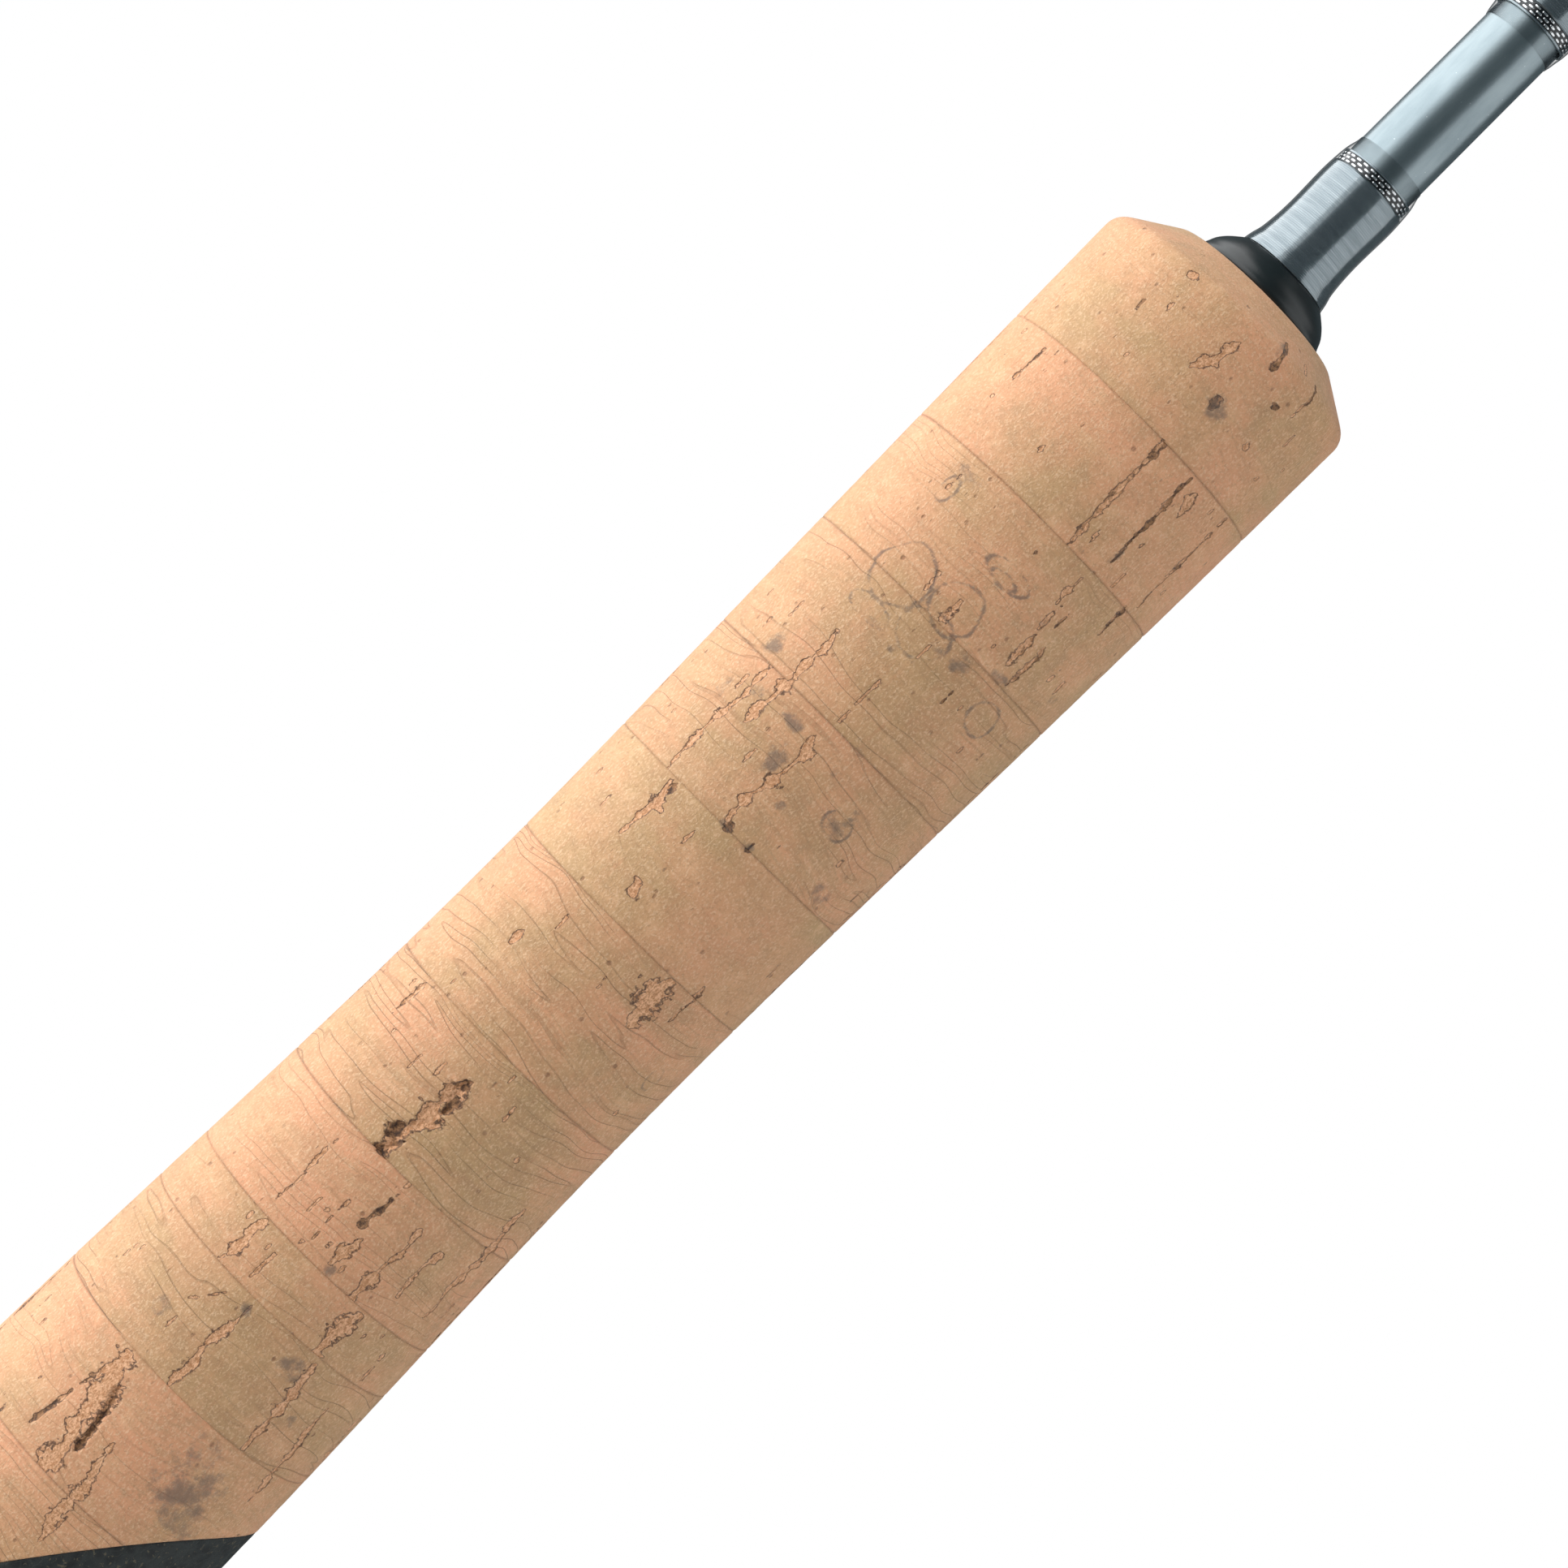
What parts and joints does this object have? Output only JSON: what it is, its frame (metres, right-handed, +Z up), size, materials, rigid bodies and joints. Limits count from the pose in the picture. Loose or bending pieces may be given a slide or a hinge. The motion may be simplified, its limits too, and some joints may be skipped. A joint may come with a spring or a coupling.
{
  "type": "spinning rod",
  "caption": "Two-piece spinning fishing rod: cork and composite grips, reel seat with screw-down hood, tapered blank with wrapped ring guides and a tip top.",
  "frame": {"origin": "centre of the butt cap's end face, on the rod's axis", "axes": "+X along the rod's axis from butt to tip, +Z up; the reel seat's bed, the guides and the hook keeper are on the -Z side, as the rod is fished"},
  "size_m": [2.134, 0.03, 0.058],
  "materials": {
    "blank": "satin metallic paint over graphite",
    "cork": "raw sanded cork",
    "composite": "rubberised cork, sanded",
    "cap_rubber": "matt",
    "check_rubber": "satin",
    "seat": "moulded, fine grain",
    "arbor": "foam",
    "steel": "dark brushed",
    "trim_metal": "anodised",
    "thread": "black nylon thread",
    "silver_thread": "metallic thread",
    "epoxy": "clear coat",
    "guide_steel": "dark plated",
    "ring": "polished"
  },
  "bodies": {
    "butt_section": {"butt_blank": "blank", "butt_cap": "cap_rubber", "ferrule_spigot_wrap": "thread", "fixed_hood_cover": "steel", "foregrip_composite": "composite", "foregrip_cork_rings": "cork", "front_trim_ring": "trim_metal", "grip_wrap_band": "silver_thread", "grip_wrap_finish": "epoxy", "grip_wrap_thread": "thread", "guide_1_frame": "guide_steel", "guide_1_ring": "ring", "guide_1_wraps": "thread", "hook_keeper": "guide_steel", "hook_keeper_wraps": "thread", "keeper_wrap_band": "silver_thread", "keeper_wrap_finish": "epoxy", "keeper_wrap_thread": "thread", "rear_grip_composite_rings": "composite", "rear_grip_cork_rings": "cork", "rear_trim_ring": "trim_metal", "reel_seat_body": "seat", "seat_arbors": "arbor", "winding_check": "check_rubber"},
    "tip_section": {"tip_blank": "blank", "ferrule_socket_wrap": "thread", "tip_top_frame": "guide_steel", "tip_top_ring": "ring", "tip_top_wrap": "thread", "guide_2_frame": "guide_steel", "guide_2_ring": "ring", "guide_2_wraps": "thread", "guide_3_frame": "guide_steel", "guide_3_ring": "ring", "guide_3_wraps": "thread", "guide_4_frame": "guide_steel", "guide_4_ring": "ring", "guide_4_wraps": "thread", "guide_5_frame": "guide_steel", "guide_5_ring": "ring", "guide_5_wraps": "thread", "guide_6_frame": "guide_steel", "guide_6_ring": "ring", "guide_6_wraps": "thread", "guide_7_frame": "guide_steel", "guide_7_ring": "ring", "guide_7_wraps": "thread"},
    "moving_hood": {"moving_hood": "seat", "moving_hood_cover": "steel"},
    "lock_nut": {"lock_nut": "seat", "lock_nut_band": "trim_metal"}
  },
  "joints": [
    {"name": "tip_section_pull", "type": "slide", "parent": "butt_section", "child": "tip_section", "axis": [1, 0, 0], "range_m": [0, 0.08]},
    {"name": "moving_hood_slide", "type": "slide", "parent": "butt_section", "child": "moving_hood", "axis": [1, 0, 0], "range_m": [0, 0.022]},
    {"name": "lock_nut_turn", "type": "hinge", "parent": "moving_hood", "child": "lock_nut", "pos_m": [0.2756, 0, 0], "axis": [1, 0, 0], "range_deg": [0, 3960]}
  ],
  "couplings": [
    {"joint": "moving_hood_slide", "follows": "lock_nut_turn", "m_per_rad": 0.00031831}
  ]
}
